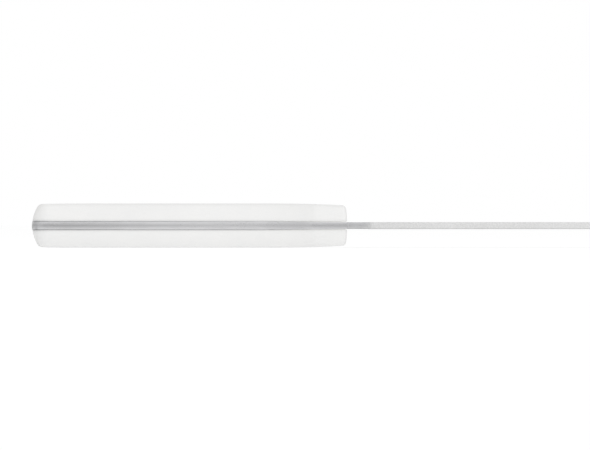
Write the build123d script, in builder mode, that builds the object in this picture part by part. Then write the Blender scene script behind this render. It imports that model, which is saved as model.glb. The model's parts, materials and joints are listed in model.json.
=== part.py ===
from build123d import *

import os
from math import hypot, sqrt

# Flat sharpening steel with a full tang: one ground steel bar whose coated working length
# stands out of a riveted two-scale handle. The bar, the coating, both scales, the bond films,
# the rivets and the hanging tube are separate solids.
# X runs from the butt to the tip and Z through the thickness. The origin is at the bottom
# centre of the whole steel, which lies on the flat of its lower scale.

# ---- Driving dimensions, in millimetres ----------------------------------------------------

# Lengths along the steel, from the butt end of the scales
handle_length = 118.0
neck_length = 8.2  # bare steel between the handle and the coating
coat_length = 240.0
tip_length = 12.0  # bare steel past the coating

# Bar; its edges are ground to a slight crown, and the widths are over that crown
tang_thickness = 3.3
bar_thickness = 2.5
taper_margin = 1.0  # the tang's taper ends this far past the root
bar_width = 22.0
neck_width = 21.2
root_radius = 0.5  # inside corner between the tang's guard and the neck
shoulder_radius = 6.0  # both bends between the neck and the full width
tip_corner_radius = 7.0
tang_proud = 0.12  # how far the crown stands out of the scales
crown_height = 0.12  # across the tang's thickness
edge_radius = 0.2
coat_thickness = 0.06

# Handle outline, seen from above: half widths and where they lie along the handle
butt_radius = 40.0
butt_corner_radius = 5.6
hollow_at, hollow_half = 22.0, 12.0
swell_at, swell_half = 48.0, 13.2
waist_half = 11.0
guard_length = 34.0  # from the waist to the front
flare_radius = 60.0
lip_radius = 8.0
guard_half = 15.0

# Handle thickness, seen from the edge
handle_thickness = 16.5
side_bulge_radius = 13.7  # rounds the rim of the handle from face to face
rear_fall_length, front_fall_length = 25.0, 29.0  # either side of the flat it rests on
rear_fall_radius = 1400.0
front_fall_radius = 545.0
front_bulge_radius = 50.0
rim_fillet = 2.4
front_fillet = 1.6

# Joint between tang and scales
film_thickness = 0.1
film_recess = 0.3

# Rivets and hanging tube
rear_rivet_at = 30.0
rivet_head_diameter = 8.0
rivet_head_height = 3.0
rivet_rim_chamfer = 0.15
sleeve_diameter = 5.0
sleeve_end_gap = 0.3  # free length between a sleeve's end and the pin's head
pin_diameter = 3.2
pin_end_gap = 0.8  # free length between a pin's end and the sleeve's head
tube_at = 11.0
tube_diameter = 6.5
tube_bore = 5.0
tube_mouth_chamfer = 0.4
tube_recess = 0.15  # below the flat of each scale
fit_gap = 0.02  # radial, around heads, sleeves and tube
press_gap = 0.005  # radial, around a pin in its sleeve

# ---- Worked out from them ------------------------------------------------------------------

overall_length = tang_proud + handle_length + neck_length + coat_length + tip_length
coat_start = handle_length + neck_length
coat_end = coat_start + coat_length
tip_end = coat_end + tip_length
waist_at = handle_length - guard_length
taper_start, taper_end = waist_at, handle_length + root_radius + taper_margin
flat_start, flat_end = rear_fall_length, handle_length - front_fall_length
rivet_places = {
    "rear": rear_rivet_at,
    "middle": (rear_rivet_at + waist_at) / 2,
    "front": waist_at,
}
half_handle = handle_thickness / 2
half_tang = tang_thickness / 2
half_bar = bar_thickness / 2
scale_inner = half_tang + film_thickness
rivet_seat = half_handle - rivet_head_height
tube_half = half_handle - tube_recess
overrun = 10.0  # how far cutting bodies reach past what they shape
crown_levels = [share * half_tang for share in (-1.2, -0.6, 0, 0.6, 1.2)]
rim_levels = [share * half_handle for share in (0, 0.35, 0.65, 0.87, 1.05)]

# Sketch planes: the steel's middle plane, the upright plane along it and the one across it.
# All have their origin at the butt end of the scales, midway through the thickness.
BUTT = (tang_proud - overall_length / 2, 0, half_handle)
MIDDLE = Plane(origin=BUTT)
EDGE_ON = Plane(origin=BUTT, x_dir=(1, 0, 0), z_dir=(0, -1, 0))
ACROSS = Plane(origin=BUTT, x_dir=(0, 1, 0), z_dir=(1, 0, 0))


def circles_meet(first, first_radius, second, second_radius, above=True):
    """The point where two circles cross, on the side with the larger or the smaller y."""
    dx, dy = second[0] - first[0], second[1] - first[1]
    apart = hypot(dx, dy)
    along = (apart**2 + first_radius**2 - second_radius**2) / (2 * apart)
    across = sqrt(first_radius**2 - along**2)
    foot = (first[0] + along * dx / apart, first[1] + along * dy / apart)
    ends = [(foot[0] + s * across * dy / apart, foot[1] - s * across * dx / apart) for s in (1, -1)]
    return (max if above else min)(ends, key=lambda point: point[1])


def towards(start, goal, distance):
    """The point that lies the given distance from start in the direction of goal."""
    share = distance / hypot(goal[0] - start[0], goal[1] - start[1])
    return (start[0] + share * (goal[0] - start[0]), start[1] + share * (goal[1] - start[1]))


def midpoint(start, end):
    """The point halfway between two others."""
    return ((start[0] + end[0]) / 2, (start[1] + end[1]) / 2)


def bend_radius(low, high):
    """Radius of the equal arcs of an S-bend that runs level through both points."""
    run, rise = high[0] - low[0], high[1] - low[1]
    return (run**2 + rise**2) / (4 * rise)


def sagitta(radius, run):
    """How far a circle falls away from its tangent at the given distance along the tangent."""
    return radius - sqrt(radius**2 - run**2)


def handle_edge(front):
    """Draws half of the handle's outline, from the middle of the butt to the given front."""
    hollow, swell = (hollow_at, hollow_half), (swell_at, swell_half)
    waist = (waist_at, waist_half)
    butt_centre = (butt_radius, 0)
    hollow_radius = bend_radius(hollow, swell)
    hollow_centre = (hollow_at, hollow_half + hollow_radius)
    flare_centre = (waist_at, waist_half + flare_radius)
    inner_radius = butt_radius - butt_corner_radius
    outer_radius = hollow_radius + butt_corner_radius
    corner_centre = circles_meet(butt_centre, inner_radius, hollow_centre, outer_radius, False)
    corner_start = towards(butt_centre, corner_centre, butt_radius)
    corner_end = towards(corner_centre, hollow_centre, butt_corner_radius)

    lip_rise = flare_centre[1] - (guard_half - lip_radius)
    lip_at = waist_at + sqrt((flare_radius + lip_radius) ** 2 - lip_rise**2)
    lip_start = towards((lip_at, guard_half - lip_radius), flare_centre, lip_radius)
    lip = (lip_at, guard_half)

    arc = TangentArc((0, 0), corner_start, tangent=(0, 1))
    bends = (midpoint(hollow, swell), swell, midpoint(swell, waist), waist)
    for goal in (corner_end, *bends, lip_start, lip):
        arc = TangentArc(arc @ 1, goal, tangent=arc % 1)
    return Line(lip, (front, guard_half))


def handle_face(z, inset, front=handle_length):
    """The handle's outline in the plane at height z, drawn smaller by the inset."""
    with BuildSketch(MIDDLE.offset(z)) as face:
        with BuildLine():
            side = handle_edge(front)
            Line(side @ 1, (front, 0))
            mirror(about=Plane.XZ)
        make_face()
        if inset:
            offset(amount=-inset, kind=Kind.INTERSECTION)
    return face.sketch


def bar_face(z):
    """The whole bar's outline in the plane at height z, with the crown of its edges."""
    half_neck = neck_width / 2 - tang_proud
    half_width = bar_width / 2 - tang_proud
    rise = half_width - half_neck
    shoulder_run = sqrt(4 * shoulder_radius * rise - rise**2)
    shoulder_start = (coat_start - shoulder_run, half_neck)
    shoulder_middle = (coat_start - shoulder_run / 2, half_neck + rise / 2)
    root_start = (handle_length, half_neck + root_radius)
    root_end = (handle_length + root_radius, half_neck)
    corner_start = (tip_end - tang_proud - tip_corner_radius, half_width)
    corner_end = (tip_end - tang_proud, half_width - tip_corner_radius)
    with BuildSketch(MIDDLE.offset(z)) as face:
        with BuildLine():
            side = handle_edge(handle_length)
            Line(side @ 1, root_start)
            TangentArc(root_start, root_end, tangent=(0, -1))
            Line(root_end, shoulder_start)
            lower = TangentArc(shoulder_start, shoulder_middle, tangent=(1, 0))
            TangentArc(shoulder_middle, (coat_start, half_width), tangent=lower % 1)
            Line((coat_start, half_width), corner_start)
            TangentArc(corner_start, corner_end, tangent=(1, 0))
            Line(corner_end, (corner_end[0], 0))
            mirror(about=Plane.XZ)
        make_face()
        offset(amount=tang_proud - crown_height * (z / half_tang) ** 2, kind=Kind.INTERSECTION)
    return face.sketch


def bores(diameter, places, start, stop):
    """Cuts round holes through the open part, between two heights over the middle plane."""
    with BuildSketch(MIDDLE.offset(start)) as rounds:
        with Locations(*[(place, 0) for place in places]):
            Circle(diameter / 2)
    extrude(rounds.sketch, amount=stop - start, mode=Mode.SUBTRACT)


os.makedirs("parts", exist_ok=True)

# ---- Steel bar: tang, neck, working length and tip in one piece ----------------------------

with BuildPart() as steel_bar:
    loft([bar_face(z) for z in crown_levels])
    with BuildSketch(EDGE_ON):
        with BuildLine():
            Polyline(
                (-overrun, half_tang),
                (taper_start, half_tang),
                (taper_end, half_bar),
                (tip_end + overrun, half_bar),
                (tip_end + overrun, -half_bar),
                (taper_end, -half_bar),
                (taper_start, -half_tang),
                (-overrun, -half_tang),
                close=True,
            )
        make_face()
    extrude(amount=guard_half + overrun, both=True, mode=Mode.INTERSECT)
    # The rims between flats and crown; the two bends across the tang's flats stay sharp.
    bends = [BUTT[0] + taper_start, BUTT[0] + taper_end]
    across = [e for e in edges() if any(abs(e.center().X - bend) < 0.01 for bend in bends)]
    rims = [e for e in edges() if abs(e.center().Z - half_handle) > 0.9 * half_bar]
    fillet([e for e in rims if e not in across], radius=edge_radius)
    bores(sleeve_diameter + 2 * fit_gap, rivet_places.values(), -overrun, overrun)
    bores(tube_diameter + 2 * fit_gap, [tube_at], -overrun, overrun)

steel_bar.part.label = "steel_bar"
export_step(steel_bar.part, "parts/steel_bar.step")

# ---- Abrasive coating: a thin sleeve around the working length -----------------------------

with BuildPart() as abrasive_coating:
    coat_half_width = bar_width / 2 + coat_thickness
    coat_half_height = half_bar + coat_thickness
    coat_crown = crown_height * (half_bar / half_tang) ** 2
    corner = (coat_half_width - coat_crown, coat_half_height)
    with BuildSketch(ACROSS.offset(coat_start)):
        with BuildLine():
            ThreePointArc((corner[0], -corner[1]), (coat_half_width, 0), corner)
            Line(corner, (-corner[0], corner[1]))
            ThreePointArc((-corner[0], corner[1]), (-coat_half_width, 0), (-corner[0], -corner[1]))
            Line((-corner[0], -corner[1]), (corner[0], -corner[1]))
        make_face()
        fillet(vertices(), radius=edge_radius + coat_thickness)
    extrude(amount=coat_length)
    add(steel_bar.part, mode=Mode.SUBTRACT)

abrasive_coating.part.label = "abrasive_coating"
export_step(abrasive_coating.part, "parts/abrasive_coating.step")

# ---- Scales: drawn above the middle plane, then turned over for the lower one ---------------

with BuildPart() as upper_scale:
    lofted_front = handle_length + overrun
    loft([handle_face(z, sagitta(side_bulge_radius, z), lofted_front) for z in rim_levels])
    front_centre = (handle_length - front_bulge_radius, 0)
    fall_centre = (flat_end, half_handle - front_fall_radius)
    nose = circles_meet(front_centre, front_bulge_radius, fall_centre, front_fall_radius)
    front_foot = (handle_length - sagitta(front_bulge_radius, scale_inner), scale_inner)
    rear_end = (-overrun, half_handle - sagitta(rear_fall_radius, flat_start + overrun))
    with BuildSketch(EDGE_ON):
        with BuildLine():
            Line((-overrun, scale_inner), front_foot)
            RadiusArc(front_foot, nose, -front_bulge_radius)
            TangentArc((flat_end, half_handle), nose, tangent=(1, 0))
            Line((flat_end, half_handle), (flat_start, half_handle))
            TangentArc((flat_start, half_handle), rear_end, tangent=(-1, 0))
            Line(rear_end, (-overrun, scale_inner))
        make_face()
    extrude(amount=guard_half + overrun, both=True, mode=Mode.INTERSECT)
    # The flat's rim first, then everything around the front face but its inner edge.
    bends = [e for e in edges().filter_by(Axis.Y) if e.center().X < BUTT[0] + flat_end + 1]
    flat_rims = edges().filter_by(lambda e: e.center().Z > 1.9 * half_handle)
    front_rim = flat_rims.filter_by(Axis.Y).sort_by(Axis.X)[-1]
    fillet([e for e in flat_rims if e not in bends and e != front_rim], radius=rim_fillet)
    front_face = faces().sort_by(Axis.X)[-1]
    fillet(front_face.edges().sort_by(Axis.Z)[1:], radius=front_fillet)
    bores(sleeve_diameter + 2 * fit_gap, rivet_places.values(), 0, half_handle + overrun)
    bores(rivet_head_diameter + 2 * fit_gap, rivet_places.values(), rivet_seat, half_handle + overrun)
    bores(tube_diameter + 2 * fit_gap, [tube_at], 0, half_handle + overrun)

upper_scale.part.label = "upper_scale"
export_step(upper_scale.part, "parts/upper_scale.step")

with BuildPart() as lower_scale:
    mirror(upper_scale.part, about=MIDDLE)

lower_scale.part.label = "lower_scale"
export_step(lower_scale.part, "parts/lower_scale.step")

# ---- Bond films: fill what is left between the scales and the tapering tang -----------------

with BuildPart() as bond_film_upper:
    add(handle_face(0, film_recess))
    extrude(amount=scale_inner)
    add(steel_bar.part, mode=Mode.SUBTRACT)
    bores(sleeve_diameter + 2 * fit_gap, rivet_places.values(), -overrun, overrun)
    bores(tube_diameter + 2 * fit_gap, [tube_at], -overrun, overrun)

bond_film_upper.part.label = "bond_film_upper"
export_step(bond_film_upper.part, "parts/bond_film_upper.step")

with BuildPart() as bond_film_lower:
    mirror(bond_film_upper.part, about=MIDDLE)

bond_film_lower.part.label = "bond_film_lower"
export_step(bond_film_lower.part, "parts/bond_film_lower.step")

# ---- Rivets: a headed sleeve pushed up from below, a headed pin pressed down into it --------

for place, along in rivet_places.items():
    with BuildPart() as rivet_sleeve:
        with BuildSketch(MIDDLE.offset(-half_handle)):
            with Locations((along, 0)):
                Circle(rivet_head_diameter / 2)
        extrude(amount=rivet_head_height)
        chamfer(faces().sort_by(Axis.Z)[0].edges(), length=rivet_rim_chamfer)
        with BuildSketch(MIDDLE.offset(-rivet_seat)):
            with Locations((along, 0)):
                Circle(sleeve_diameter / 2)
        extrude(amount=2 * rivet_seat - sleeve_end_gap)
        bores(pin_diameter + 2 * press_gap, [along], -rivet_seat, half_handle)
    rivet_sleeve.part.label = f"rivet_sleeve_{place}"
    export_step(rivet_sleeve.part, f"parts/rivet_sleeve_{place}.step")

    with BuildPart() as rivet_pin:
        with BuildSketch(MIDDLE.offset(rivet_seat)):
            with Locations((along, 0)):
                Circle(rivet_head_diameter / 2)
        extrude(amount=rivet_head_height)
        chamfer(faces().sort_by(Axis.Z)[-1].edges(), length=rivet_rim_chamfer)
        with BuildSketch(MIDDLE.offset(pin_end_gap - rivet_seat)):
            with Locations((along, 0)):
                Circle(pin_diameter / 2)
        extrude(amount=2 * rivet_seat - pin_end_gap)
    rivet_pin.part.label = f"rivet_pin_{place}"
    export_step(rivet_pin.part, f"parts/rivet_pin_{place}.step")

# ---- Hanging tube --------------------------------------------------------------------------

with BuildPart() as hang_tube:
    with BuildSketch(MIDDLE.offset(-tube_half)):
        with Locations((tube_at, 0)):
            Circle(tube_diameter / 2)
            Circle(tube_bore / 2, mode=Mode.SUBTRACT)
    extrude(amount=2 * tube_half)
    mouths = edges().filter_by(GeomType.CIRCLE).sort_by(SortBy.RADIUS)[:2]
    chamfer(mouths, length=tube_mouth_chamfer)

hang_tube.part.label = "hang_tube"
export_step(hang_tube.part, "parts/hang_tube.step")
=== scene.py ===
"""Looks for the flat sharpening steel: a finish for every CAD piece, a pale studio, and a camera
that sees the steel on its edge, nearly level with the middle of its thickness."""

import json
import math

import bpy
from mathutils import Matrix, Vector


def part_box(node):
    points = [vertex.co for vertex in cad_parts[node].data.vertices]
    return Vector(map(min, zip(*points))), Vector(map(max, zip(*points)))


MM = 0.001
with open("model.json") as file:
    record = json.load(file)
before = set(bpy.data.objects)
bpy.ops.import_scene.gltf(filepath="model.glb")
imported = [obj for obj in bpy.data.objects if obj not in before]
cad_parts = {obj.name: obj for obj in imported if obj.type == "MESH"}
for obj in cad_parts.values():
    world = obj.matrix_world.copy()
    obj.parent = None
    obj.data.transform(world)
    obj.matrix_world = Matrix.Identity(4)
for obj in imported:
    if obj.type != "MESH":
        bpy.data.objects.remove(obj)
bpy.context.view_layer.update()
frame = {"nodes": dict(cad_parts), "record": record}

# ---- Landmarks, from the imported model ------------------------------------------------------

handle_low, handle_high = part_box("upper_scale")
bar_low, bar_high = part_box("steel_bar")
coat_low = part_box("abrasive_coating")[0]
mid_z = (bar_low.z + bar_high.z) / 2
butt_x = handle_low.x
handle_length = handle_high.x - handle_low.x
# Bands where painted shade lies along the corners of the neck and of the coating.
neck_rim = (10.0 * MM, 10.3 * MM)  # just inside the neck's edges, either side of the middle
coat_rim = (10.5 * MM, 10.8 * MM)  # the same for the coating


# ---- Small helpers for shader nodes --------------------------------------------------------


class Finish:
    """A new material with a Principled shader, and short calls that add and wire nodes."""

    def __init__(self, name, color, metallic, roughness, **sockets):
        self.material = bpy.data.materials.new(name)
        self.material.use_nodes = True
        self.tree = self.material.node_tree
        self.shader = self.tree.nodes["Principled BSDF"]
        self.shader.inputs["Base Color"].default_value = (*color, 1)
        self.shader.inputs["Metallic"].default_value = metallic
        self.shader.inputs["Roughness"].default_value = roughness
        for socket, value in sockets.items():
            self.shader.inputs[socket.replace("_", " ")].default_value = value
        self.place = self.add("ShaderNodeTexCoord").outputs["Object"]

    def add(self, kind, **settings):
        node = self.tree.nodes.new(kind)
        for key, value in settings.items():
            setattr(node, key, value)
        return node

    def wire(self, source, target):
        self.tree.links.new(source, target)

    def drive(self, source, socket):
        self.tree.links.new(source, self.shader.inputs[socket])

    def stretched(self, scale):
        """Object coordinates, in metres, multiplied by the scale along each axis."""
        mapping = self.add("ShaderNodeMapping")
        mapping.inputs["Scale"].default_value = scale
        self.wire(self.place, mapping.inputs["Vector"])
        return mapping.outputs["Vector"]

    def noise(self, scale, detail=4.0, roughness=0.55):
        """Noise with features of about 1/scale metres along each axis."""
        noise = self.add("ShaderNodeTexNoise")
        noise.inputs["Scale"].default_value = 1.0
        noise.inputs["Detail"].default_value = detail
        noise.inputs["Roughness"].default_value = roughness
        self.wire(self.stretched(scale), noise.inputs["Vector"])
        return noise.outputs["Fac"]

    def cells(self, size):
        """Cells of the given size, with a random colour and the distance from each middle."""
        voronoi = self.add("ShaderNodeTexVoronoi", feature="F1")
        voronoi.inputs["Scale"].default_value = 1.0
        self.wire(self.stretched((1 / size,) * 3), voronoi.inputs["Vector"])
        return voronoi.outputs

    def between(self, source, low, high, from_low=0.0, from_high=1.0, smooth=False):
        """Low where the source is from_low, high where it is from_high, held beyond them."""
        node = self.add("ShaderNodeMapRange")
        node.interpolation_type = "SMOOTHSTEP" if smooth else "LINEAR"
        node.inputs["From Min"].default_value = from_low
        node.inputs["From Max"].default_value = from_high
        node.inputs["To Min"].default_value = low
        node.inputs["To Max"].default_value = high
        self.wire(source, node.inputs["Value"])
        return node.outputs["Result"]

    def math(self, operation, first, second=None):
        """One sum on numbers or outputs."""
        node = self.add("ShaderNodeMath", operation=operation)
        for socket, value in zip(node.inputs, (first, second)):
            if isinstance(value, (int, float)):
                socket.default_value = value
            elif value is not None:
                self.wire(value, socket)
        return node.outputs[0]

    def blend(self, factor, first, second):
        """Mixes two colours, or outputs, by the factor."""
        node = self.add("ShaderNodeMix", data_type="RGBA")
        self.wire(factor, node.inputs["Factor"])
        for name, value in (("A", first), ("B", second)):
            socket = [s for s in node.inputs if s.name == name and s.type == "RGBA"][0]
            if isinstance(value, tuple):
                socket.default_value = (*value, 1)
            else:
                self.wire(value, socket)
        return [s for s in node.outputs if s.type == "RGBA"][0]

    def product(self, *factors):
        """All the factors multiplied."""
        result = factors[0]
        for factor in factors[1:]:
            result = self.math("MULTIPLY", result, factor)
        return result

    def axes(self):
        """The object coordinates X, Y and Z, in metres."""
        split = self.add("ShaderNodeSeparateXYZ")
        self.wire(self.place, split.inputs[0])
        return split.outputs

    def along_handle(self, axes, low, high, start, end):
        """From low to high between two shares of the handle's length."""
        from_low, from_high = (butt_x + share * handle_length for share in (start, end))
        return self.between(axes["X"], low, high, from_low, from_high)

    def off_middle(self, axes):
        """Height above or below the middle of the thickness."""
        return self.math("ABSOLUTE", self.math("SUBTRACT", axes["Z"], mid_z))

    def bump(self, height, depth, over=None):
        """Relief of the given depth in metres; over is another relief that it lies on."""
        node = self.add("ShaderNodeBump")
        node.inputs["Strength"].default_value = 1.0
        node.inputs["Distance"].default_value = depth
        self.wire(height, node.inputs["Height"])
        if over is not None:
            self.wire(over, node.inputs["Normal"])
        return node.outputs["Normal"]


# ---- Finishes ------------------------------------------------------------------------------


def white_scale():
    """White acetal, ground flush with the tang along the rim and lightly buffed, with painted shade
    along the seam next to the tang that is heaviest at the butt."""
    f = Finish("white_scale", (0.83, 0.83, 0.82), 0.0, 0.42, IOR=1.48)
    cloud = f.noise((90, 90, 90), detail=3)
    marks = f.noise((140, 5200, 5200), detail=5, roughness=0.7)
    pores = f.noise((2400, 2400, 2400), detail=4, roughness=0.65)
    axes = f.axes()
    # Painted shade along the seam next to the tang, heaviest at the butt.
    seam = f.math("POWER", f.between(f.off_middle(axes), 1, 0, 1.7 * MM, 3.2 * MM), 2)
    at_butt = f.between(axes["X"], 0.7, 0.25, butt_x, butt_x + 8 * MM)
    along = f.along_handle(axes, 1, 0.5, 0.1, 1)
    tint = f.blend(f.between(cloud, 0, 1, 0.35, 0.65), (0.79, 0.79, 0.785), (0.805, 0.803, 0.795))
    tint = f.blend(f.between(pores, 0.14, 0, 0.3, 0.46), tint, (0.6, 0.6, 0.59))
    f.drive(f.blend(f.product(seam, at_butt, along), tint, (0.5, 0.5, 0.5)), "Base Color")
    f.drive(f.between(marks, 0.36, 0.5, 0.3, 0.7), "Roughness")
    soft = f.bump(pores, 0.008 * MM, over=f.bump(cloud, 0.03 * MM))
    f.drive(f.bump(marks, 0.004 * MM, over=soft), "Normal")
    return f.material


def ground_steel():
    """Bare steel with long grinding lines, a dark joint line with painted shadow along both seams of
    the tang, painted shade along the middle of the tang's rim and along the neck's corners, a painted
    reflection that is brighter along the middle of the handle, and a paler end of the neck where the
    coating starts."""
    f = Finish("ground_steel", (0.6, 0.6, 0.61), 1.0, 0.3)
    lines = f.noise((18, 9000, 9000), detail=5, roughness=0.7)
    broad = f.noise((12, 900, 900), detail=3)
    axes = f.axes()
    height = f.off_middle(axes)
    in_handle = f.math("LESS_THAN", axes["X"], handle_high.x)

    # Painted reflection: brighter along the middle of the handle, darker towards both ends.
    reflection_rise = f.along_handle(axes, 0, 1, 0.06, 0.32)
    reflection_fall = f.along_handle(axes, 1, 0.1, 0.7, 0.95)
    tint = f.blend(f.product(reflection_rise, reflection_fall), (0.595, 0.595, 0.605), (0.69, 0.69, 0.7))
    steel = f.blend(f.between(lines, 0, 1, 0.3, 0.7), tint, (0.62, 0.62, 0.63))

    # Painted shade along the middle of the rim, which is darkest near the butt.
    middle = f.between(height, 1, 0, 0, 1.1 * MM)
    butt = f.along_handle(axes, 0.7, 1, 0, 0.05)
    towards_butt = f.along_handle(axes, 0.31, 0.05, 0.12, 0.62)
    towards_front = f.along_handle(axes, 0, 0.12, 0.62, 0.85)
    shade = f.product(middle, butt, f.math("ADD", towards_butt, towards_front), in_handle)
    steel = f.blend(shade, steel, (0.1, 0.1, 0.1))

    # Paler at the end of the neck, and painted shade along the neck's corners.
    # Paler over the last 1.6 mm of the neck, towards the coating's tone.
    neck_end_pale = f.between(axes["X"], 0, 0.4, coat_low.x - 1.6 * MM, coat_low.x)
    steel = f.blend(neck_end_pale, steel, (0.72, 0.72, 0.72))
    on_neck = f.math("SUBTRACT", f.math("LESS_THAN", axes["X"], coat_low.x), in_handle)
    # Painted shade along the neck's corners.
    corner = f.between(height, 0.07, 0.3, 0.95 * MM, 1.2 * MM, smooth=True)
    rim = f.between(f.math("ABSOLUTE", axes["Y"]), 0, 1, *neck_rim)
    steel = f.blend(f.product(corner, rim, on_neck), steel, (0.1, 0.1, 0.1))

    # The dark joint lines along the seams, with painted shadow in them, which the glue hides towards the
    # front.
    edge = f.between(height, 0, 1, 1.3 * MM, 1.5 * MM, smooth=True)
    rear_line = f.along_handle(axes, 1, 0.8, 0.1, 0.3)
    front_line = f.along_handle(axes, 1, 0, 0.5, 0.85)
    line = f.product(edge, rear_line, front_line, 0.47)
    f.drive(f.blend(line, steel, (0.15, 0.15, 0.16)), "Base Color")

    worn = f.math("ADD", f.product(lines, 0.7), f.product(broad, 0.3))
    f.drive(f.between(worn, 0.24, 0.36, 0.3, 0.7), "Roughness")
    f.drive(f.bump(lines, 0.002 * MM), "Normal")
    return f.material


def abrasive():
    """Fine grit bonded in metal plating: evenly matte, with single grains that catch the light. It is
    darker where it starts and has a little painted shade along its lower corners."""
    f = Finish("abrasive", (0.72, 0.72, 0.72), 0.75, 0.6)
    grains = f.cells(0.12 * MM)
    clusters = f.noise((1800, 1800, 1800), detail=3)
    cloud = f.noise((60, 60, 60), detail=4)
    axes = f.axes()
    tint = f.blend(f.between(clusters, 0, 1, 0.3, 0.7), (0.66, 0.66, 0.66), (0.77, 0.77, 0.765))
    tint = f.blend(f.between(cloud, 0, 0.4, 0.45, 0.7), tint, (0.79, 0.79, 0.79))
    # Darker where the coating starts: most over its first 2.6 mm, faintly over 25 mm.
    coat_start_dark = f.math("POWER", f.between(axes["X"], 1, 0, coat_low.x, coat_low.x + 2.6 * MM), 2.4)
    start = f.between(axes["X"], 0.1, 0, coat_low.x, coat_low.x + 25 * MM)
    fading = f.math("ADD", f.product(coat_start_dark, 0.36), start)
    tint = f.blend(fading, tint, (0.44, 0.44, 0.45))
    # Painted shade along the coating's lower corners.
    under = f.between(axes["Z"], 0.3, 0, mid_z - 1.2 * MM, mid_z - 0.85 * MM, smooth=True)
    rim = f.between(f.math("ABSOLUTE", axes["Y"]), 0, 1, *coat_rim)
    tint = f.blend(f.product(under, rim), tint, (0.42, 0.42, 0.42))
    speck = f.between(grains["Color"], 0, 1, 0.86, 0.95)
    f.drive(f.blend(speck, tint, (0.9, 0.9, 0.9)), "Base Color")
    f.drive(f.between(speck, 0.62, 0.25), "Roughness")
    relief = f.bump(clusters, 0.02 * MM)
    f.drive(f.bump(grains["Distance"], 0.03 * MM, over=relief), "Normal")
    return f.material


def bond_resin():
    """The glue line: dull off-white resin with a little dust in it."""
    f = Finish("bond_resin", (0.74, 0.74, 0.72), 0.0, 0.6)
    dust = f.noise((800, 2500, 2500), detail=4)
    tint = f.blend(f.between(dust, 0, 1, 0.35, 0.7), (0.78, 0.78, 0.76), (0.86, 0.86, 0.84))
    f.drive(tint, "Base Color")
    f.drive(f.bump(dust, 0.02 * MM), "Normal")
    return f.material


def lined_steel(name, color, roughness, stretch, detail, dark, bright, finest):
    """Bright steel with fine lines in one direction, and a roughness that follows them."""
    f = Finish(name, color, 1.0, roughness)
    lines = f.noise(stretch, **detail)
    f.drive(f.blend(f.between(lines, 0, 1, 0.3, 0.7), dark, bright), "Base Color")
    f.drive(f.between(lines, finest, finest + 0.16, 0.3, 0.7), "Roughness")
    f.drive(f.bump(lines, 0.003 * MM), "Normal")
    return f.material


def rivet_steel():
    """Rivet heads ground flush with the scales, so their lines run along the handle."""
    detail = {"detail": 6, "roughness": 0.7}
    dark, bright = (0.6, 0.6, 0.61), (0.72, 0.72, 0.73)
    stretch = (180, 7000, 7000)
    return lined_steel("rivet_steel", (0.66, 0.66, 0.67), 0.28, stretch, detail, dark, bright, 0.2)


def tube_steel():
    """Drawn tube, with faint lines along its bore."""
    dark, bright = (0.54, 0.54, 0.56), (0.68, 0.68, 0.7)
    stretch = (6000, 6000, 150)
    return lined_steel("tube_steel", (0.62, 0.62, 0.64), 0.25, stretch, {"detail": 4}, dark, bright, 0.18)


slots = {row["node"]: row["material_slot"] for row in frame["record"]["subparts"]}
makers = (white_scale, ground_steel, abrasive, bond_resin, rivet_steel, tube_steel)
finishes = {maker.__name__: maker() for maker in makers}
for name, node in frame["nodes"].items():
    for place in node.material_slots:
        place.material = finishes[slots[name]]

# ---- Studio --------------------------------------------------------------------------------

floor_radius = 40.0
floor_drop = 0.02 * MM  # keeps the floor clear of the lower scale


def pale_floor():
    """A wide round floor that runs into the white surroundings. It glows, so that it stays nearly
    white under the steel. Reflections see it darker right under the steel and far from it, as if
    in a room with dark walls."""
    bpy.ops.mesh.primitive_circle_add(vertices=96, radius=floor_radius, fill_type="NGON")
    floor = bpy.context.object
    floor.name = "floor"
    floor.location.z = -floor_drop
    f = Finish("floor_paper", (0.33, 0.33, 0.33), 0.0, 0.9)
    f.shader.inputs["Specular IOR Level"].default_value = 0.0
    f.shader.inputs["Emission Color"].default_value = (1, 1, 1, 1)
    off_centre = f.math("ABSOLUTE", f.axes()["Y"])
    beneath = f.between(off_centre, 0.5, 0, 11 * MM, 20 * MM, smooth=True)
    far_off = f.between(off_centre, 0, 0.72, 65 * MM, 230 * MM, smooth=True)
    rays = f.add("ShaderNodeLightPath").outputs
    reflected = f.product(f.math("ADD", beneath, far_off), rays["Is Glossy Ray"])
    seen = f.product(rays["Is Camera Ray"], 0.08)
    f.drive(f.math("SUBTRACT", 0.78, f.math("ADD", reflected, seen)), "Emission Strength")
    floor.data.materials.append(f.material)


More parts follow.
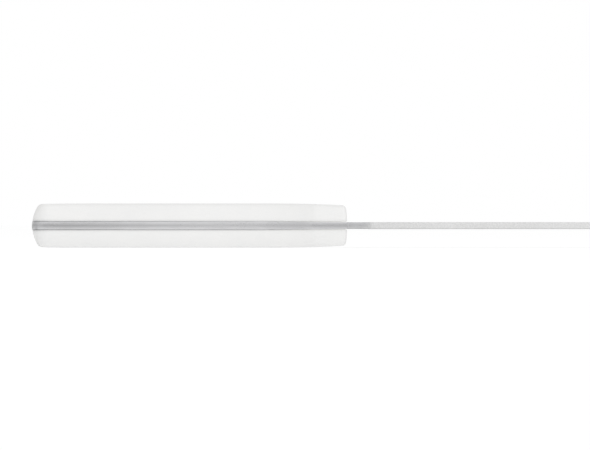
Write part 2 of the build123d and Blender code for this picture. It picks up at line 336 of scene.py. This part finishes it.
def surroundings():
    """Soft light from all round, dimmer low down on the near side, overhead, behind the steel and
    towards its butt. What the camera sees directly is plain white."""
    world = bpy.data.worlds.new("studio")
    bpy.context.scene.world = world
    world.use_nodes = True
    tree = world.node_tree
    tree.nodes.clear()
    link = tree.links.new
    place = tree.nodes.new("ShaderNodeTexCoord").outputs["Generated"]
    split = tree.nodes.new("ShaderNodeSeparateXYZ")
    link(place, split.inputs[0])

    def ramp(axis, low, high, from_low, from_high):
        """Low where the direction's axis is from_low, high where it is from_high."""
        node = tree.nodes.new("ShaderNodeMapRange")
        node.interpolation_type = "SMOOTHSTEP"
        node.inputs["From Min"].default_value = from_low
        node.inputs["From Max"].default_value = from_high
        node.inputs["To Min"].default_value = low
        node.inputs["To Max"].default_value = high
        link(split.outputs[axis], node.inputs["Value"])
        return node.outputs["Result"]

    def combine(operation, first, second):
        """One sum on numbers or outputs."""
        node = tree.nodes.new("ShaderNodeMath")
        node.operation = operation
        for socket, value in zip(node.inputs, (first, second)):
            if isinstance(value, (int, float)):
                socket.default_value = value
            else:
                link(value, socket)
        return node.outputs[0]

    # The dark end of the room: a low band, on the -Y side only.
    room = combine("MULTIPLY", ramp("Z", 0.78, 0, 0.0, 0.14), ramp("Y", 1, 0, -0.93, -0.6))
    overhead = ramp("Z", 1.21, 1.1, 0.45, 1.0)
    rays = tree.nodes.new("ShaderNodeLightPath").outputs
    # Reflections see less of the dim wall at the butt than plain surfaces do.
    shiny = combine("MULTIPLY", rays["Is Glossy Ray"], 0.85)
    left = combine("MAXIMUM", ramp("X", 0.3, 1.06, -1.0, -0.7), shiny)
    sides = combine("MULTIPLY", left, ramp("Y", 1.1, 0.75, -1.0, 1.0))
    high_right = combine("MULTIPLY", ramp("X", 0, 0.1, 0.1, 0.7), ramp("Z", 0, 1, 0.4, 0.7))
    low_right = combine("MULTIPLY", ramp("X", 0, 0.12, 0.25, 0.75), ramp("Z", 1, 0, 0.3, 0.6))
    right = combine("SUBTRACT", combine("ADD", 1, high_right), low_right)
    light = combine("MULTIPLY", overhead, combine("MULTIPLY", sides, right))
    light = combine("MULTIPLY", light, combine("SUBTRACT", 1, room))
    soft = tree.nodes.new("ShaderNodeBackground")
    link(light, soft.inputs["Strength"])
    plain = tree.nodes.new("ShaderNodeBackground")
    plain.inputs["Color"].default_value = (1, 1, 1, 1)
    choose = tree.nodes.new("ShaderNodeMixShader")
    link(rays["Is Camera Ray"], choose.inputs[0])
    link(soft.outputs[0], choose.inputs[1])
    link(plain.outputs[0], choose.inputs[2])
    output = tree.nodes.new("ShaderNodeOutputWorld")
    link(choose.outputs[0], output.inputs["Surface"])


def softbox(name, place, size, power, target):
    """A rectangular lamp at the place, facing the target."""
    lamp = bpy.data.lights.new(name, "AREA")
    lamp.shape = "RECTANGLE"
    lamp.size, lamp.size_y = size
    lamp.energy = power
    holder = bpy.data.objects.new(name, lamp)
    holder.location = place
    holder.rotation_euler = (Vector(target) - Vector(place)).to_track_quat("-Z", "Y").to_euler()
    bpy.context.scene.collection.objects.link(holder)


pale_floor()
surroundings()
handle_middle = (butt_x + handle_length / 2, 0, mid_z)
softbox("key", place=(0.2, -0.9, 1.3), size=(1.2, 0.8), power=2.5, target=handle_middle)

# ---- Camera --------------------------------------------------------------------------------

lens = 225.0
sensor = 36.0
view_width = 219.75 * MM  # what the frame spans at the near edge of the coating
view_centre_x = butt_x + 98.45 * MM
camera_above_middle = 0.21 * MM  # lifts the view, so that the steel lies just below its centre

camera_data = bpy.data.cameras.new("camera")
camera_data.lens = lens
camera_data.sensor_width = sensor
camera_data.clip_end = 3 * floor_radius
camera = bpy.data.objects.new("camera", camera_data)
distance = view_width * lens / sensor
camera.location = (view_centre_x, coat_low.y - distance, mid_z + camera_above_middle)
camera.rotation_euler = (math.radians(90), 0, 0)
bpy.context.scene.collection.objects.link(camera)
bpy.context.scene.camera = camera

bpy.context.scene.view_settings.view_transform = "Standard"
bpy.context.scene.view_settings.look = "None"
